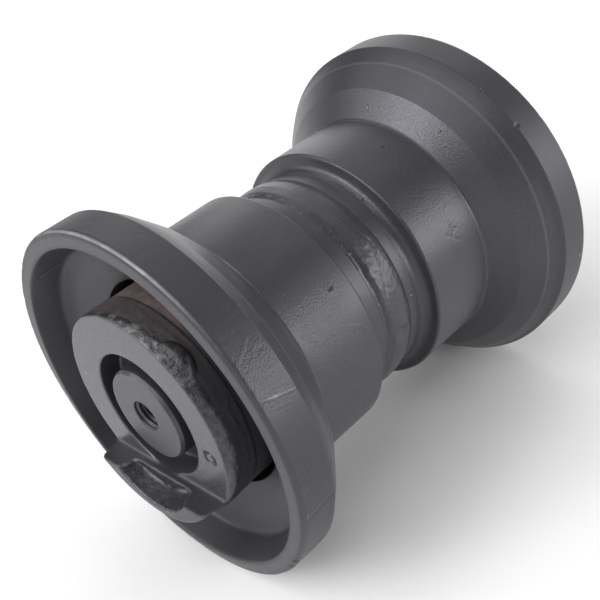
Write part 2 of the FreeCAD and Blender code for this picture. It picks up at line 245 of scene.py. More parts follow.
def grown(distance, low, high, step):
    """Points and faces of the surface where distance(points) is nought, inside a box."""
    counts = [int(math.ceil((b - a) / step)) + 1 for a, b in zip(low, high)]
    axes = [a + step * np.arange(n) for a, n in zip(low, counts)]
    grid = np.stack(np.meshgrid(*axes, indexing="ij"), axis=-1)
    field = distance(grid).astype(np.float32)
    inside = field < 0
    total = np.zeros([n - 1 for n in counts] + [3], np.float32)
    hits = np.zeros([n - 1 for n in counts], np.float32)
    corners = [(a, b, c) for a in (0, 1) for b in (0, 1) for c in (0, 1)]

    def window(array, corner):
        return array[tuple(slice(c, c + n - 1) for c, n in zip(corner, counts))]

    for first in corners:
        for along in range(3):
            if first[along]:
                continue
            second = tuple(1 if i == along else first[i] for i in range(3))
            a, b = window(field, first), window(field, second)
            crossed = window(inside, first) != window(inside, second)
            share = np.where(crossed, a / np.where(crossed, a - b, 1), 0)
            spot = np.zeros(total.shape, np.float32) + np.array(first, np.float32)
            spot[..., along] += share
            total += np.where(crossed[..., None], spot, 0)
            hits += crossed
    busy = hits > 0
    number = np.full(busy.shape, -1, np.int64)
    number[busy] = np.arange(busy.sum())
    cells = np.argwhere(busy)
    points = np.array(low) + step * (cells + total[busy] / hits[busy][:, None])
    faces = []
    for along in range(3):
        across, up = (along + 1) % 3, (along + 2) % 3
        ahead = [slice(None)] * 3
        behind = [slice(None)] * 3
        ahead[along], behind[along] = slice(1, None), slice(0, -1)
        starts, ends = inside[tuple(behind)], inside[tuple(ahead)]
        edges = np.argwhere(starts != ends)
        edges = edges[(edges[:, across] > 0) & (edges[:, up] > 0)]
        edges = edges[(edges[:, across] < counts[across] - 1) & (edges[:, up] < counts[up] - 1)]
        ring = []
        for back_across, back_up in ((1, 1), (0, 1), (0, 0), (1, 0)):
            cell = edges.copy()
            cell[:, across] -= back_across
            cell[:, up] -= back_up
            ring.append(number[cell[:, 0], cell[:, 1], cell[:, 2]])
        quads = np.stack(ring, axis=1)
        leaving = starts[tuple(edges.T)]
        faces.append(np.where(leaving[:, None], quads, quads[:, ::-1]))
    return points, np.concatenate(faces)


# --- shell halves ----------------------------------------------------------------------------

FINE = 0.6
COARSE = 4.0
NECK_END = 18.2
TREAD_START = 19.0
TREAD_END = 54.6
RIM_START = 78.4
MOUTH_RADIUS = 75.1
GROOVE_RADIUS = 55.0

# Corners of the outline, as (radius, place): the two creases of the guide slope and the dish in the end.
# The creases make the slope stand up to 2.2 mm proud of the CAD's. They were chosen for how its facets
# catch the light. The edges of the neck, tread and rim above are within 0.3 mm of the CAD's.
CREASE_1 = (69.1, 63.0)
CREASE_2 = (77.6, 72.0)
DISH = (70.0, 82.5)


def shell_outline():
    """Half the shell's section, from the weld out over the flange and back through the bore."""
    return rounded([
        (WELD_ROOT, 0, 0, COARSE),
        (NECK_RADIUS, WELD_HALF, 0.2, 0.5),
        (NECK_RADIUS, NECK_END, 4.6, FINE),
        (TREAD_RADIUS, TREAD_START, 1.4, 0.6),
        (TREAD_RADIUS, TREAD_END, 2.0, 0.7),
        (CREASE_1[0], CREASE_1[1], 0.5, 0.9),
        (CREASE_2[0], CREASE_2[1], 0.4, 0.9),
        (FLANGE_RADIUS, RIM_START, 0.9, 0.5),
        (FLANGE_RADIUS, HALF_LENGTH, 2.0, 0.7),
        (MOUTH_RADIUS, HALF_LENGTH, 0.9, 0.9),
        (DISH[0], DISH[1], 4.0, 0.9),
        (DUST_BORE, DUST_PLACE, 0.6, 0.9),
        (DUST_BORE, SEAL_PLANE, 0, COARSE),
        (SEAL_RADIUS, SEAL_PLANE, 0, COARSE),
        (SEAL_RADIUS, SEAL_PLANE - SEAL_DEPTH, 1.0, COARSE),
        (BUSH_RADIUS + 3, SEAL_PLANE - SEAL_DEPTH, 0, COARSE),
        (BUSH_RADIUS, BUSH_END, 0, 10),
        (BUSH_RADIUS, BUSH_FLANGE_END, 0, COARSE),
        (BUSH_FLANGE, BUSH_FLANGE_END, 0, COARSE),
        (BUSH_FLANGE, 0, 0, COARSE),
    ])


def mirrored(outline):
    """The same outline for the near end."""
    return (outline * np.array([1, -1]))[::-1]


def apart(turn, other):
    """Degrees from one turn to another, the short way round."""
    return (turn - other + 180) % 360 - 180


# Casting pits: turn, place, radius, depth. A negative depth is a lump.
PITS = {
    "near": [(34.5, -29.0, 1.3, 0.55), (42.5, -46.8, 0.5, 0.25), (12.0, -33.0, 0.6, 0.2),
             (205.0, -40.0, 0.9, 0.3), (150.0, -27.0, 0.8, 0.3), (290.0, -50.0, 0.7, 0.2)],
    "far": [(68.9, 42.5, 1.1, 0.45), (6.0, 10.8, 1.0, 0.4), (55.2, 60.8, 0.6, 0.25),
            (52.0, 51.0, 0.6, -0.35), (89.5, 58.0, 0.6, 0.3), (60.7, 15.7, 0.6, 0.4),
            (56.6, 16.8, 0.6, 0.4), (69.0, 16.4, 0.5, 0.3), (215.0, 30.0, 0.9, 0.3),
            (170.0, 46.0, 0.8, 0.3), (300.0, 36.0, 0.7, 0.3)],
}

# Scratches: turn and place at each end, width, height. A negative height is a cut, a positive one a
# raised burr, which is rubbed bare.
SCRATCHES = {
    "near": [(24.8, -92.0, 22.2, -79.0, 0.42, 0.22), (7.5, -89.5, -2.1, -87.6, 0.45, -0.2),
             (-12.8, -92.8, -10.9, -78.6, 0.5, -0.22), (-11.6, -93.0, -9.8, -79.5, 0.4, 0.10),
             (0.3, -93.6, 3.0, -86.6, 0.5, -0.2), (17.9, -29.7, 16.0, -26.0, 0.4, 0.10),
             (16.0, -26.0, 12.5, -21.9, 0.4, 0.10), (13.7, -49.7, 7.9, -32.1, 0.6, 0.035),
             (0.5, -31.9, -15.3, -34.1, 0.6, 0.035), (-0.3, -54.7, -4.6, -42.3, 0.6, 0.035),
             (34.8, -93.0, 38.8, -83.4, 0.5, 0.08), (140.0, -92.0, 133.0, -84.0, 0.5, -0.2),
             (230.0, -90.0, 246.0, -82.0, 0.5, -0.2)],
    "far": [(13.0, 38.0, 4.0, 44.0, 0.5, -0.15), (21.0, 36.0, 17.0, 42.0, 0.5, -0.12),
            (120.0, 90.0, 128.0, 83.0, 0.5, -0.2), (262.0, 88.0, 250.0, 80.0, 0.5, -0.2)],
}

# Where the skin is crinkled and catches the light: turn, half width in degrees, distance from the
# middle from and to, width of the soft edge there, radius from and to, how much.
CRINKLES = {
    "near": [(14.0, 24.0, 20.0, 57.0, 9.0, 56.0, 59.0, 0.7), (29.0, 9.5, 78.5, 94.0, 1.0, 81.0, 84.0, 0.65),
             (190.0, 30.0, 20.0, 54.0, 9.0, 56.0, 59.0, 0.5)],
    "far": [(100.0, 78.0, TREAD_END, CREASE_1[1] + 0.2, 0.3, 58.0, CREASE_1[0] + 0.2, 0.25),
            (22.0, 22.0, 18.0, 54.0, 9.0, 56.0, 59.0, 0.35)],
}

# Knocks in the flange edges: turn, place, half length round the edge, depth.
NICKS = {
    "near": [(-34.0, -95, 2.4, 0.9), (-38.5, -95, 1.6, 0.8), (118.0, -95, 2.0, 0.5), (210.0, -95, 3.0, 0.8)],
    "far": [(37.5, 95.5, 1.5, 1.2), (39.6, 79, 1.2, 0.8), (54.4, 79, 1.2, 0.7), (200.0, 94, 2.5, 0.8)],
}
NICK_HALF_WIDTH = 1.6
NICK_HALF_HEIGHT = 2.5

# Rust spots on the flange rims: turn, place, radius.
RUST_SPOTS = {
    "near": [(-2.8, -91.9, 0.9), (-10.9, -93.1, 0.9), (-1.8, -90.6, 0.5)],
    "far": [(-10.5, 91.6, 1.2), (-13.0, 90.0, 0.7)],
}

# How strongly each end's rim is pitted, its edges uneven and its outer edge rubbed bare.
RIM_PITTING = {"near": 0.08, "far": 0.02}
EDGE_WAVER = {"near": 0.16, "far": 0.05}
EDGE_RUBBING = {"near": 0.8, "far": 0.0}
RUBBED_TURN = 84

# The near rim is forged short on one side.
SHORT_TURN = -118
SHORT_DEPTH = 1.3

# A pitted patch on the far tread.
PATCH_TURN = 24
PATCH_PLACE = 40
PATCH_DEPTH = 0.22


def shell_shape(end, seed):
    """How far a shell half's skin stands off its outline, and its marks."""

    def shape(turn, radius, place, points):
        away = np.abs(place)
        skin = ease(46, 50, radius)
        rim = ease(79.0, 81.5, radius)
        lift = 0.03 * noise(points, 22.0, seed) * skin
        lift -= rim * (0.03 + RIM_PITTING[end] * ease(0.3, 1.0, layered(points, 2.6, 3, seed + 5)))

        edge = rim * ease(1.9, 0.6, np.abs(away - HALF_LENGTH + 0.4))
        lift -= edge * EDGE_WAVER[end] * ease(0.0, 0.9, layered(points, 2.4, 3, seed + 9))
        crest = ease(0.9, 0.3, np.hypot(radius - FLANGE_RADIUS + 0.5, away - HALF_LENGTH + 0.7))
        broken = ease(-0.2, 0.6, layered(points * np.array([1, 2, 1]), 3.5, 3, seed + 14))
        wear_and_highlight = crest * (0.65 + 0.35 * broken)
        wear_and_highlight *= 0.04 + EDGE_RUBBING[end] * ease(42, 12, np.abs(apart(turn, RUBBED_TURN)))
        # Painted highlight: a faint bare-coloured line all round the guide slope's upper crease, for the
        # light it catches.
        ridge = np.hypot(radius - CREASE_2[0], away - CREASE_2[1])
        wear_and_highlight = np.maximum(wear_and_highlight, 0.12 * ease(0.8, 0.3, ridge))

        crinkle = np.zeros(radius.shape)
        glint = np.zeros(radius.shape)
        blur = 1.5 * noise(points, 4.0, seed + 20)
        for at, half, start, stop, soft, low, high, amount in CRINKLES[end]:
            blurred = away + blur * min(1, soft / 2)
            here = ease(half + 2, half - 3, np.abs(apart(turn, at)) + blur)
            here *= ease(start, start + soft, blurred)
            here *= ease(stop, stop - soft, blurred) * (radius > low) * (radius < high)
            crinkle = np.maximum(crinkle, amount * here)
            glint = np.maximum(glint, here)
        creased = crinkle > 0
        lift[creased] += 0.02 * crinkle[creased] * layered(points[creased], 2.0, 2, seed + 21)

        for at, along, size, depth in PITS[end]:
            gap = np.hypot(np.radians(apart(turn, at)) * radius, place - along)
            here = skin * (radius < 80)
            lift -= here * depth * ease(size, size * 0.45, gap)
            lift += here * 0.08 * ease(size * 0.7, 0, np.abs(gap - size * 1.25))

        wander = 0.22 * noise(points, 2.2, seed + 3)
        rubbed = 0.5 + 0.5 * ease(-0.4, 0.4, noise(points, 1.6, seed + 8))
        for first, start, last, stop, width, height in SCRATCHES[end]:
            x, y = np.radians(apart(turn, first)) * radius, place - start
            dx, dy = math.radians(last - first) * FLANGE_RADIUS, stop - start
            share = np.clip((x * dx + y * dy) / (dx * dx + dy * dy), 0, 1)
            gap = np.hypot(x - share * dx, y - share * dy) + wander
            here = ease(width * 1.6, 0, np.abs(gap)) * (skin > 0.5) * (radius > 56)
            lift += here * height
            wear_and_highlight = np.maximum(wear_and_highlight, 0.5 * rubbed * ease(0.3, 1.0, here) * ease(0.04, 0.22, height))

        for at, along, size, depth in NICKS[end]:
            gap = np.sqrt((np.radians(apart(turn, at)) * radius / size)**2
                          + ((place - along) / NICK_HALF_WIDTH)**2
                          + ((radius - FLANGE_RADIUS) / NICK_HALF_HEIGHT)**2)
            lift -= depth * ease(1.0, 0.2, gap)

        rust = np.zeros(radius.shape)
        for at, along, size in RUST_SPOTS[end]:
            gap = np.hypot(np.radians(apart(turn, at)) * radius, place - along)
            rust = np.maximum(rust, rim * ease(size, size * 0.3, gap + 0.4 * noise(points, 0.9, 77)))

        if end == "near":
            short = ease(75, 10, np.abs(apart(turn, SHORT_TURN)))
            lift -= SHORT_DEPTH * short * ease(76.5, 82, radius) * ease(91, 94.6, away)
        lift -= 0.12 * ease(0.5, 0, np.abs(radius - GROOVE_RADIUS)) * (away > DUST_PLACE)
        if end == "far":
            across = np.radians(apart(turn, PATCH_TURN)) * radius
            patch = ease(8, 2, np.hypot(across, (place - PATCH_PLACE) * 1.3))
            lift -= (PATCH_DEPTH * patch * (radius < 60) * (radius > 56)
                     * ease(0.0, 0.6, layered(points, 1.6, 3, 90)))
        # Painted shade: the dish's wall between radius 60 and 77 is mixed towards near-black, where shade
        # falls inside the flange's end.
        shade = 0.6 * ease(60, 68, radius) * ease(77, 75.5, radius) * (away > DUST_PLACE - 1)
        return lift, {"wear_and_highlight": np.clip(wear_and_highlight, 0, 1), "rust": rust, "crinkle": crinkle, "glint": glint,
                      "matte": rim, "shade": shade}
    return shape


shells = {}
for end, seed in (("near", 11), ("far", 37)):
    outline = shell_outline()
    if end == "near":
        outline = mirrored(outline)
    shells[end] = turned("shell_half_%s_painted" % end, outline, 900, "roller", "painted_forging",
                         ["shell_half_" + end], shell_shape(end, seed))

# --- joint weld ------------------------------------------------------------------------------

# Ripples round the bead, chevrons where the passes overlap, and the turns that overlap spans.
RIPPLES = 210
CHEVRONS = 90
LUMPS_FROM = 46.0
LUMPS_TO = -6.0
LUMPS_MIDDLE = (LUMPS_FROM + LUMPS_TO) / 2
LUMPS_HALF = (LUMPS_FROM - LUMPS_TO) / 2
FOLD_TURN = 39.0
FOLD_PLACE = 4.0
NOTCH_PLACE = -7.0
CRATER_TURN = -9
CRATER_PLACE = 1
SPATTER_TURN = -6


def weld_shape(turn, radius, place, points):
    """How far the bead stands off its outline, and its marks."""
    on_top = ease(NECK_RADIUS - 0.9, NECK_RADIUS - 0.1, radius)
    across = place / WELD_HALF
    drift = 2.0 * noise(points, 7.0, 3)
    scale = (turn * RIPPLES / 360 + 2.6 * across**2 + 0.25 * drift) % 1
    ripple = (scale - 0.5) * ease(0, 0.25, scale) * ease(1, 0.9, scale)
    overlap = ease(LUMPS_HALF + 4, LUMPS_HALF - 5, np.abs(apart(turn, LUMPS_MIDDLE)))
    lift = 0.13 * (1 - overlap) * ripple * (0.6 + 0.4 * noise(points, 12.0, 4))
    lift += 0.05 * (1 - 0.6 * overlap) * layered(points, 5.0, 3, 21)

    lumps = overlap * ease(1.0, 0.6, np.abs(across - 0.12))
    pull = np.stack([noise(points, 7.0, seed) for seed in (31, 32, 33)], axis=-1)
    flow = 1 - 2 * np.abs(noise(points * np.array([1, 1.6, 1]) + 3.0 * pull, 8.0, 34))
    lift += lumps * (0.35 + 0.12 * flow + 0.08 * layered(points + 2.0 * pull, 2.8, 2, 35))
    lean = 1.6 * np.abs(across - 0.1 - 0.12 * pull[..., 0])
    wave = (turn * CHEVRONS / 360 - lean + 0.25 * drift) % 1
    lift += (0.13 + 0.05 * pull[..., 1]) * lumps * (wave - 0.5) * ease(0, 0.35, wave) * ease(1, 0.88, wave)
    fold = place - FOLD_PLACE + 0.29 * np.abs(apart(turn, FOLD_TURN)) + 0.4 * noise(points, 4.0, 36)
    lift -= 0.22 * lumps * ease(1.0, 0, np.abs(fold))
    notch = np.abs(place - NOTCH_PLACE + 0.5 * noise(points, 2.5, 37))
    lift -= 0.35 * overlap * ease(0.9, 0, notch)

    crater = np.hypot(np.radians(apart(turn, CRATER_TURN)) * radius / 5.0, (place - CRATER_PLACE) / 4.5)
    lift += -0.7 * ease(1.0, 0.2, crater) + 0.25 * ease(0.3, 0, np.abs(crater - 1.1))
    spatter = ease(-0.7, -0.85, across + 0.12 * noise(points, 4.0, 51))
    spatter *= ease(34, 46, np.abs(apart(turn, SPATTER_TURN)))
    lift += spatter * 0.16 * layered(points, 1.6, 3, 52)
    wear_and_highlight = spatter * ease(0.5, 0.8, layered(points, 1.3, 2, 53)) * 0.5
    return on_top * lift, {"wear_and_highlight": on_top * wear_and_highlight, "rust": 0 * wear_and_highlight, "crinkle": 0.2 * on_top,
                           "glint": 0 * wear_and_highlight}


weld_outline = rounded([
    (WELD_ROOT, 0, 0, COARSE),
    (NECK_RADIUS - 0.1, -WELD_HALF - 0.2, 0.2, 0.4),
    (NECK_RADIUS + WELD_CROWN * 0.7, -WELD_HALF * 0.55, 4.0, 0.4),
    (NECK_RADIUS + WELD_CROWN, 0, 6.0, 0.4),
    (NECK_RADIUS + WELD_CROWN * 0.7, WELD_HALF * 0.55, 4.0, 0.4),
    (NECK_RADIUS - 0.1, WELD_HALF + 0.2, 0.2, 1.5),
], 0.4)
weld = turned("weld_bead_painted", weld_outline, 1000, "roller", "painted_weld", ["weld_bead"], weld_shape)

# --- shaft -----------------------------------------------------------------------------------


THRUST_HALF = 4.4
SHAFT_WEAR_TURN = 75


def shaft_outline():
    """The far half of the shaft's section, from the thread's bottom to its middle, then the near half."""
    corners = [
        (0.05, SHAFT_HALF - THREAD_LENGTH - 3.0, 0, COARSE),
        (THREAD_ROOT, SHAFT_HALF - THREAD_LENGTH, 0, 0.25),
        (THREAD_ROOT, SHAFT_HALF, 0.15, 1.5),
        (SHAFT_RADIUS - 1.0, SHAFT_HALF, 0.3, 0.4),
        (SHAFT_RADIUS, SHAFT_HALF - 1.6, 0.3, 1.0),
        (SHAFT_RADIUS, 84.0, 0, 12.0),
        (SHAFT_RADIUS, THRUST_HALF, 0.3, COARSE),
        (THRUST_RADIUS, THRUST_HALF, 0.3, COARSE),
    ]
    mirror = []
    for index, corner in enumerate(reversed(corners)):
        spacing = corners[-1 - index - 1][3] if index + 1 < len(corners) else COARSE
        mirror.append((corner[0], -corner[1], corner[2], spacing))
    return corners + mirror


def shaft_shape(turn, radius, place, points):
    """The thread in each end and the chamfers' unevenness, and the marks."""
    depth = SHAFT_HALF - np.abs(place)
    bore = (radius < THREAD_ROOT + 0.05) & (depth < THREAD_LENGTH - 0.5)
    phase = (depth / THREAD_PITCH + np.sign(place) * turn / 360) % 1
    ridge = np.clip(1.2 - 2.6 * np.abs(phase - 0.5), 0, 1) * ease(0.2, 1.4, depth)
    end = (radius > 18.5) & (radius < 21.5) & (depth < 2.2)
    lift = np.where(bore, THREAD_DEPTH * ridge, 0) - np.where(end, 0.05, 0) * layered(points, 2.0, 2, 61)
    wear_and_highlight = end * (0.3 + 0.7 * ease(-0.2, 0.8, layered(points, 3.0, 2, 62))) * 0.12
    wear_and_highlight *= 0.2 + 0.8 * ease(60, 25, np.abs(apart(turn, SHAFT_WEAR_TURN)))
    return lift, {"wear_and_highlight": wear_and_highlight, "rust": 0 * wear_and_highlight, "crinkle": 0 * wear_and_highlight, "glint": 0 * wear_and_highlight}


shaft = turned("shaft_finished", rounded(shaft_outline()), 240, "shaft_assembly", "painted_shaft",
               ["shaft"], shaft_shape)

# --- collars ---------------------------------------------------------------------------------


def both(a, b, soft):
    """Where both solids are, with an edge rounded by soft."""
    mix = np.clip(0.5 - 0.5 * (b - a) / soft, 0, 1)
    return b + (a - b) * mix + soft * mix * (1 - mix)


def either(a, b, soft):
    """Both solids joined, with a hollow corner rounded by soft."""
    return -both(-a, -b, soft)


CHAMFER_TURN = 20.0
DEEPEST_TURN = 72
LUMP_TURN = 50.0
LUMP_PLACE = 91.5
LUMP_HALF_TURN = 10.5
LUMP_HALF_LENGTH = 4.6
LEDGE_X = 0.9
SCOOP_X = 1.2
PUNCH_HALF_WIDTH = 0.6
PUNCH_DEPTH = 1.0
HUB_BROWN_TURN = 150
SIDE_SHEEN_TURN = 110
RUBBED_BAND_TURN = 75


def lump_gap(turn, place):
    """0 at the middle of the lump on a collar's rim and 1 at its foot."""
    return np.hypot(apart(turn, LUMP_TURN) / LUMP_HALF_TURN, (place - LUMP_PLACE) / LUMP_HALF_LENGTH)


def collar_marks(grid):
    """Turn, radius, and the inner edge and depth of the rough band round a collar's face."""
    x, place, z = grid[..., 0], grid[..., 1], grid[..., 2]
    turn = np.degrees(np.arctan2(z, x))
    radius = np.hypot(x, z)
    wide = ease(80, 20, np.abs(apart(turn, CHAMFER_TURN)))
    edge = COLLAR_FACE_RADIUS + 0.3 - 1.9 * wide
    drop = 1.6 + 3.0 * wide + 0.9 * ease(50, 20, np.abs(apart(turn, DEEPEST_TURN)))
    return turn, radius, edge, drop


def collar_distance(pin_side):
    """The distance from a collar's surface, less than nought inside. pin_side is the end of x that the
    lock pin goes in from."""

    def distance(grid):
        x, place, z = grid[..., 0], grid[..., 1], grid[..., 2]
        turn, radius, edge, drop = collar_marks(grid)
        side = ease(HUB_END - 0.5, HUB_END + 0.5, place)
        near_side = (radius > 41) & (place > HUB_END - 2)
        rough = np.zeros(radius.shape)
        streak = np.zeros(radius.shape)
        here = grid[near_side]
        rough[near_side] = 0.6 * layered(here, 5.0, 4, 7, 0.6) + 0.5 - np.abs(layered(here, 3.0, 2, 12))
        swirl = np.stack([turn[near_side] * 0.16, here[..., 1], radius[near_side]], axis=-1)
        streak[near_side] = layered(swirl, 1.9, 2, 17, 0.6)
        rim = HUB_RADIUS + (COLLAR_RADIUS - HUB_RADIUS) * side - 0.12 * side * (2 + rough + streak)
        rim = rim + ease(1.05, 0.85, lump_gap(turn, place)) * (0.6 + 0.5 * rough)
        run = COLLAR_RADIUS - edge
        slant = np.hypot(run, drop)
        slope = ((radius - edge) * drop + (place - COLLAR_FACE) * run) / slant
        slope = slope - 0.26 * rough - 0.12 * streak
        disc = both(radius - rim, slope, 0.5)
        disc = both(disc, place - COLLAR_FACE, 0.35)
        disc = np.maximum(disc, COLLAR_START - place)
        taper = 0.13 * np.clip(place - COLLAR_FACE, -2, 20)
        outside = np.hypot(x - LEDGE_X, z) - (COLLAR_FACE_RADIUS - taper)
        ledge = both(outside + 0.12 * (1 + rough), place - LEDGE_PLACE + 0.05, 2.4)
        ledge = both(ledge, z + LEDGE_HEIGHT, 0.7)
        ledge = np.maximum(ledge, COLLAR_FACE - 6 - place)
        solid = either(disc, ledge, 1.8)
        along = np.clip((place - SCOOP_PLACE) / (LEDGE_PLACE - SCOOP_PLACE), -0.5, 1.2)
        middle = -SCOOP_BACK_DROP - (SCOOP_DROP - SCOOP_BACK_DROP) * along
        size = SCOOP_BACK_RADIUS + (SCOOP_RADIUS - SCOOP_BACK_RADIUS) * along
        pitted = np.zeros(radius.shape)
        in_scoop = (place > SCOOP_PLACE - 3) & (z < -20)
        pitted[in_scoop] = layered(grid[in_scoop], 3.0, 3, 27, 0.6)
        scoop = both(np.hypot(x - SCOOP_X, z - middle) - size + 0.3 * pitted,
                     SCOOP_PLACE - place + 0.2 * pitted, 1.6)
        solid = both(solid, -scoop, 0.6)
        pocket = both(radius - POCKET_RADIUS, POCKET_FLOOR - place, 2.2)
        solid = both(solid, -pocket, 0.6)
        ring = np.hypot(x - MARK_X, z - MARK_Z)
        punched = np.maximum(np.abs(ring - MARK_RADIUS) - PUNCH_HALF_WIDTH,
                             COLLAR_FACE - PUNCH_DEPTH - place)
        solid = both(solid, -punched, 0.3)
        solid = np.maximum(solid, SHAFT_RADIUS + 0.05 - radius)
        recess = np.maximum(np.abs(radius - (SEAL_RADIUS + NOSE_RADIUS) / 2)
                            - (SEAL_RADIUS - NOSE_RADIUS) / 2, place - SEAL_PLANE - SEAL_DEPTH)
        solid = np.maximum(solid, -recess)
        pin = np.maximum(np.hypot(place - PIN_PLACE, z + PIN_DROP) - PIN_RADIUS, -12 - pin_side * x)
        return np.maximum(solid, -pin)
    return distance


def collar_looks(points):
    """The marks on a far collar's points, and which of them are in the scoop and on the turned face."""
    x, place, z = points[:, 0], points[:, 1], points[:, 2]
    turn, radius, edge, drop = collar_marks(points)
    band = ease(edge - 0.4, edge + 0.4, radius) * ease(COLLAR_FACE - drop - 1.2, COLLAR_FACE - drop, place)
    wear_and_highlight = 0.35 * band * ease(0.1, 0.8, layered(points, 2.4, 3, 7, 0.6))
    wear_and_highlight *= 0.3 + 0.7 * ease(45, 15, np.abs(apart(turn, RUBBED_BAND_TURN)))
    # Painted highlight: a bright bare-coloured line along the scoop's foot.
    foot = ease(1.3, 0.2, np.abs(place - SCOOP_PLACE - 0.6)) * (np.abs(x - 1) < 17)
    foot *= ease(1.2, 0.0, np.abs(z + 34.6 - 0.016 * x**2))
    wear_and_highlight = np.maximum(wear_and_highlight, 0.5 * foot * ease(-0.4, 0.3, noise(points, 2.5, 71)))
    band = np.maximum(band, ease(1.1, 0.9, lump_gap(turn, place)) * ease(44, 45, radius))

    scoop = ease(0.2, 1.2, LEDGE_PLACE - place) * ease(COLLAR_FACE, COLLAR_FACE + 2, place)
    scoop *= ease(SCOOP_RADIUS + 1.5, SCOOP_RADIUS - 0.5, np.hypot(x - SCOOP_X, z + SCOOP_DROP))
    scoop *= ease(-29.0, -30.0, z)
    hub = ease(HUB_END + 0.4, HUB_END - 0.4, place)
    dark = ease(COLLAR_FACE - 0.6, COLLAR_FACE - 2.0, place) * ease(43, 44.5, radius)
    dark = np.maximum(np.maximum(dark, scoop), hub)
    brown_and_sheen = hub * ease(40, 46, radius)
    brown_and_sheen *= ease(120, 75, np.abs(apart(turn, HUB_BROWN_TURN)) + 12 * noise(points, 9.0, 81))
    # Painted sheen: the collar's side is lifted towards brown on its upper side, round turn 110, for the
    # light it reflects there. The hub's brown above is its own finish.
    brown_and_sheen = np.maximum(brown_and_sheen, 0.28 * dark * ease(80, 45, np.abs(apart(turn, SIDE_SHEEN_TURN))))

    flank = ease(8, 16, x) * ease(-19, -22, z) * ease(COLLAR_FACE + 0.5, COLLAR_FACE + 2, place)
    rugged = np.maximum(np.maximum(0.7 * scoop, 0.8 * flank), 0.8 * band)
    face = ease(COLLAR_FACE - 0.5, COLLAR_FACE - 0.1, place)
    face *= ease(COLLAR_FACE + 0.5, COLLAR_FACE + 0.1, place)
    # Near-black is laid on the rough band round the face, on the lump and on the ledge's low flank.
    marks = {"wear_and_highlight": wear_and_highlight, "dark": dark, "brown_and_sheen": brown_and_sheen, "rust": 0 * wear_and_highlight,
             "darkened": np.maximum(0.85 * band, 0.7 * flank), "crinkle": rugged, "glint": 0.7 * band}
    return marks, scoop, face


COLLAR_CELL = 0.48
collars = {}
for end, way in (("near", -1), ("far", 1)):
    reach = COLLAR_RADIUS + 1.5
    points, faces = grown(collar_distance(way), (-reach, COLLAR_START - 1.2, -reach),
                          (reach, LEDGE_PLACE + 1.5, reach), COLLAR_CELL)
    marks, scoop, face = collar_looks(points)
    points[:, 1] *= way
    if way < 0:
        faces = faces[:, ::-1]
    piece = new_piece("collar_%s_painted" % end, points, faces, "shaft_assembly", "painted_forging",
                      "collar_" + end, marks=marks)
    in_scoop = scoop[faces].mean(axis=1) > 0.5
    on_face = face[faces].min(axis=1) > 0.5
    collars[end] = piece, np.where(in_scoop, 1, np.where(on_face, 2, 0)).astype(np.int32)

# --- materials -------------------------------------------------------------------------------


class Finish:
    """A procedural material, with short names for the nodes used here."""

    def __init__(self, name):
        self.material = bpy.data.materials.new(name)
        self.material.use_nodes = True
        self.tree = self.material.node_tree
        self.shader = self.tree.nodes["Principled BSDF"]

    def put(self, kind, **settings):
        node = self.tree.nodes.new(kind)
        for key, value in settings.items():
            setattr(node, key, value)
        return node

    def join(self, source, target):
        self.tree.links.new(source, target)

    def feed(self, socket, value):
        if isinstance(value, (int, float, tuple)):
            socket.default_value = value
        else:
            self.join(value, socket)

    def where(self):
        return self.put("ShaderNodeTexCoord").outputs["Object"]

    def noise(self, size, detail=2.0, roughness=0.5, vector=None, distortion=0.0):
        node = self.put("ShaderNodeTexNoise")
        self.join(vector or self.where(), node.inputs["Vector"])
        node.inputs["Scale"].default_value = 1 / (size * MM)
        node.inputs["Detail"].default_value = detail
        node.inputs["Roughness"].default_value = roughness
        node.inputs["Distortion"].default_value = distortion
        return node.outputs["Fac"]

    def times(self, a, b):
        node = self.put("ShaderNodeMath", operation="MULTIPLY")
        self.feed(node.inputs[0], a)
        self.feed(node.inputs[1], b)
        return node.outputs[0]

    def mark(self, name):
        return self.put("ShaderNodeAttribute", attribute_name=name).outputs["Fac"]

    def between(self, value, low, high, to_low=0.0, to_high=1.0):
        node = self.put("ShaderNodeMapRange", interpolation_type="SMOOTHSTEP")
        for socket, number in zip(node.inputs, (value, low, high, to_low, to_high)):
            self.feed(socket, number)
        return node.outputs[0]

    def mix(self, share, a, b):
        node = self.put("ShaderNodeMix", data_type="RGBA")
        self.feed(node.inputs[0], share)
        self.feed(node.inputs[6], a)
        self.feed(node.inputs[7], b)
        return node.outputs[2]

    def bump(self, height, distance, strength=1.0, normal=None):
        node = self.put("ShaderNodeBump")
        node.inputs["Distance"].default_value = distance * MM
        self.feed(node.inputs["Strength"], strength)
        self.feed(node.inputs["Height"], height)
        if normal:
            self.join(normal, node.inputs["Normal"])
        return node.outputs["Normal"]


PAINT = (0.0302, 0.0293, 0.0355, 1)
PAINT_PALE = (0.0342, 0.0333, 0.0400, 1)
PAINT_MATTE = (0.0250, 0.0243, 0.0290, 1)
PAINT_GREY = (0.032, 0.0312, 0.0345, 1)
PAINT_FLECK = (0.062, 0.060, 0.070, 1)
BROWN = (0.165, 0.122, 0.108, 1)
BARE_AND_HIGHLIGHT = (0.30, 0.30, 0.31, 1)
RUST = (0.42, 0.33, 0.24, 1)
# A near-black, used as painted shade in the end's dish and the ledge's hollow, and also on the collar's
# darker band.
NEAR_BLACK = (0.014, 0.014, 0.015, 1)
SHEEN_TINT = (0.95, 0.93, 1.0, 1)
GLINT_ROUGHNESS = 0.28


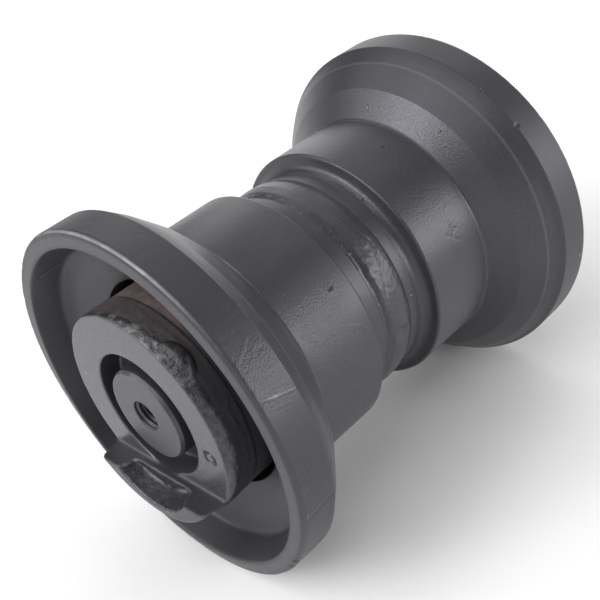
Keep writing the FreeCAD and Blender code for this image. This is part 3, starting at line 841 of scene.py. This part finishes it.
def paint(name, grain=0.07, rough=0.34, marks=(), shine=0.5, tone=PAINT, pale=PAINT_PALE, ior=1.5):
    """Satin paint with fine grain in mm. marks are (mark, colour, roughness) laid over it in turn."""
    finish = Finish(name)
    shader = finish.shader
    colour = finish.mix(finish.between(finish.noise(25.0, 3.0), 0.3, 0.7), tone, pale)
    flecks = finish.between(finish.noise(0.9, 3.0, 0.7), 0.5, 0.75, 0.0, 0.6)
    colour = finish.mix(flecks, colour, PAINT_FLECK)
    gloss = finish.between(finish.noise(1.2, 3.0, 0.7), 0.3, 0.7, rough - 0.05, rough + 0.05)
    specks = finish.between(finish.noise(0.7, 1.0), 0.5, 0.58)
    for mark, tint, dull in marks:
        value = finish.mark(mark)
        if mark == "rust":
            value = finish.times(value, specks)
        if mark == "brown_and_sheen":
            value = finish.times(value, finish.between(finish.noise(3.0, 4.0, 0.7), 0.3, 0.65, 0.35, 1.0))
        colour = finish.mix(value, colour, tint)
        gloss = finish.between(value, 0.0, 1.0, gloss, dull)
    finish.join(colour, shader.inputs["Base Color"])
    gloss = finish.between(finish.mark("glint"), 0.0, 1.0, gloss, GLINT_ROUGHNESS)
    finish.join(gloss, shader.inputs["Roughness"])
    shader.inputs["Specular IOR Level"].default_value = shine
    shader.inputs["IOR"].default_value = ior
    shader.inputs["Specular Tint"].default_value = SHEEN_TINT
    normal = finish.bump(finish.noise(0.8, 2.0, 0.6), grain * 1.4, 0.9)
    normal = finish.bump(finish.noise(0.75, 2.0, 0.7), 0.32, finish.mark("crinkle"), normal)
    normal = finish.bump(finish.noise(4.5, 1.0), 0.012, 1.0, normal)
    finish.join(normal, shader.inputs["Normal"])
    return finish


def cover(piece, *finishes):
    piece.data.materials.clear()
    for finish in finishes:
        piece.data.materials.append(finish.material)


# Bare-coloured marks are rubbed-bare paint, and also painted highlight lines along the guide's upper crease
# and the scoop's foot.
WORN_AND_HIGHLIGHTED = (("wear_and_highlight", BARE_AND_HIGHLIGHT, 0.33), ("rust", RUST, 0.8))
# The matte mark is the flange rim's own duller paint; the shade mark is painted shade in the dish.
FORGED_AND_SHADE = (("matte", PAINT_MATTE, 0.44), ("shade", NEAR_BLACK, 0.42))
COLLARED = (("dark", PAINT_GREY, 0.45), ("brown_and_sheen", BROWN, 0.7), ("darkened", NEAR_BLACK, 0.40))
forging_paint = paint("forging_paint", marks=FORGED_AND_SHADE + WORN_AND_HIGHLIGHTED)
weld_paint = paint("weld_paint", 0.04, 0.32, WORN_AND_HIGHLIGHTED)
shaft_paint = paint("shaft_paint", 0.06, 0.37, WORN_AND_HIGHLIGHTED, 0.63)
collar_paints = [
    paint("collar_paint", 0.07, 0.38, COLLARED + WORN_AND_HIGHLIGHTED, 0.75),
    # Painted shade: the hollow under the ledge is near-black with a weak sheen, for the shade inside it.
    paint("scoop_painted_shade", 0.09, 0.46, WORN_AND_HIGHLIGHTED, 0.22, NEAR_BLACK, PAINT_GREY),
    paint("collar_face_paint", 0.05, 0.31, WORN_AND_HIGHLIGHTED, 1.0, ior=1.55),
]
cover(shells["near"], forging_paint)
cover(shells["far"], forging_paint)
cover(weld, weld_paint)
cover(shaft, shaft_paint)
for collar, paint_of in collars.values():
    cover(collar, *collar_paints)
    collar.data.polygons.foreach_set("material_index", paint_of)


def metal(name, colour, rough, size, grain, metallic=1.0):
    """A plain turned or moulded finish, with patches about size across and grain, both in mm."""
    finish = Finish(name)
    pale = tuple(min(1, c * 1.25) for c in colour[:3]) + (1,)
    finish.join(finish.mix(finish.between(finish.noise(size, 3.0), 0.35, 0.65), colour, pale),
                finish.shader.inputs["Base Color"])
    finish.join(finish.between(finish.noise(size * 0.4, 2.0), 0.3, 0.7, rough * 0.8, rough * 1.2),
                finish.shader.inputs["Roughness"])
    finish.join(finish.bump(finish.noise(size * 0.2, 3.0), grain), finish.shader.inputs["Normal"])
    finish.shader.inputs["Metallic"].default_value = metallic
    return finish


bronze = metal("bush_bronze", (0.55, 0.33, 0.12, 1), 0.32, 4.0, 0.02)
iron = metal("seal_iron", (0.28, 0.28, 0.29, 1), 0.28, 5.0, 0.02)
steel = metal("bright_steel", (0.45, 0.45, 0.47, 1), 0.25, 4.0, 0.015)
rubber = metal("seal_rubber", (0.012, 0.012, 0.012, 1), 0.65, 3.0, 0.03, 0.0)
for node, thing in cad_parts.items():
    if node.startswith("bush"):
        cover(thing, bronze)
    elif node.startswith("seal_ring"):
        cover(thing, iron)
    elif "rubber" in node or "o_ring" in node or node.endswith("seal"):
        cover(thing, rubber)
    elif node.startswith("oil_plug") or "pins" in node:
        cover(thing, steel)

# --- floor, light and camera -----------------------------------------------------------------

FLOOR_SIZE = 40.0
FLOOR_GAP = 0.0005
corners = np.array([(-1, -1, 0), (1, -1, 0), (1, 1, 0), (-1, 1, 0)], float) * FLOOR_SIZE / 2
floor_mesh = bpy.data.meshes.new("floor")
floor_mesh.from_pydata([tuple(c) for c in corners], [], [(0, 1, 2, 3)])
floor = bpy.data.objects.new("floor", floor_mesh)
floor.location.z = cad_box[0].z - FLOOR_GAP
bpy.context.scene.collection.objects.link(floor)
white = Finish("floor_white")
white.shader.inputs["Base Color"].default_value = (0.9, 0.9, 0.9, 1)
white.shader.inputs["Roughness"].default_value = 0.9
cover(floor, white)

# The world is bright at the horizon and dim overhead.
world = bpy.data.worlds.new("studio")
world.use_nodes = True
bpy.context.scene.world = world
nodes, links = world.node_tree.nodes, world.node_tree.links
background = nodes["Background"]
background.inputs["Color"].default_value = (1, 1, 1, 1)
direction = nodes.new("ShaderNodeTexCoord")
parts = nodes.new("ShaderNodeSeparateXYZ")
links.new(direction.outputs["Generated"], parts.inputs[0])
dimming = nodes.new("ShaderNodeMapRange")
dimming.interpolation_type = "SMOOTHSTEP"
links.new(parts.outputs["Z"], dimming.inputs["Value"])
dimming.inputs["From Min"].default_value = 0.02
dimming.inputs["From Max"].default_value = 0.42
dimming.inputs["To Min"].default_value = 0.75
dimming.inputs["To Max"].default_value = 0.03
links.new(dimming.outputs["Result"], background.inputs["Strength"])


def towards(compass, height):
    """The way to a compass direction (0 is +X, 90 is +Y) and a height above the floor, in degrees."""
    bearing, up = math.radians(compass), math.radians(height)
    return Vector((math.cos(bearing) * math.cos(up), math.sin(bearing) * math.cos(up), math.sin(up)))


# Distant soft lights in rings: height above the floor, width of each light, strength at each compass
# direction.
LIGHT_RINGS = [
    (62, 28, {75: 0.2, 135: 0.25, 195: 0.35, 255: 0.45, 315: 0.45}),
    (34, 28, {36: 0.2, 108: 0.2, 144: 0.3, 216: 0.5, 252: 0.5, 288: 0.25}),
    (34, 14, {234: 0.25, 251: 0.55, 268: 0.4, 284: 0.15}),
    (10, 28, {15: 1.3, 45: 0.9, 75: 0.1, 105: 0.55, 135: 0.2}),
]
for ring, (height, width, strengths) in enumerate(LIGHT_RINGS):
    for compass, strength in strengths.items():
        data = bpy.data.lights.new("soft_light_%d_%d" % (ring, compass), "SUN")
        data.angle = math.radians(width)
        data.energy = strength
        light = bpy.data.objects.new(data.name, data)
        light.rotation_mode = "QUATERNION"
        light.rotation_quaternion = towards(compass, height).to_track_quat("Z", "Y")
        bpy.context.scene.collection.objects.link(light)

bpy.context.scene.view_settings.view_transform = "Standard"

CAMERA_PLACE = Vector((285.8, -231.9, 227.7)) * MM
CAMERA_COMPASS = 321.82
CAMERA_HEIGHT = 32.19
CAMERA_ROLL = -15.05
CAMERA_LENS = 57.7
camera_data = bpy.data.cameras.new("camera")
camera_data.lens = CAMERA_LENS
camera_data.sensor_width = 36
camera_data.clip_start = 0.01
camera = bpy.data.objects.new("camera", camera_data)
camera.location = CAMERA_PLACE
camera.rotation_mode = "QUATERNION"
camera.rotation_quaternion = (towards(CAMERA_COMPASS, CAMERA_HEIGHT).to_track_quat("Z", "Y")
                              @ Quaternion((0, 0, 1), math.radians(CAMERA_ROLL)))
bpy.context.scene.collection.objects.link(camera)
bpy.context.scene.camera = camera
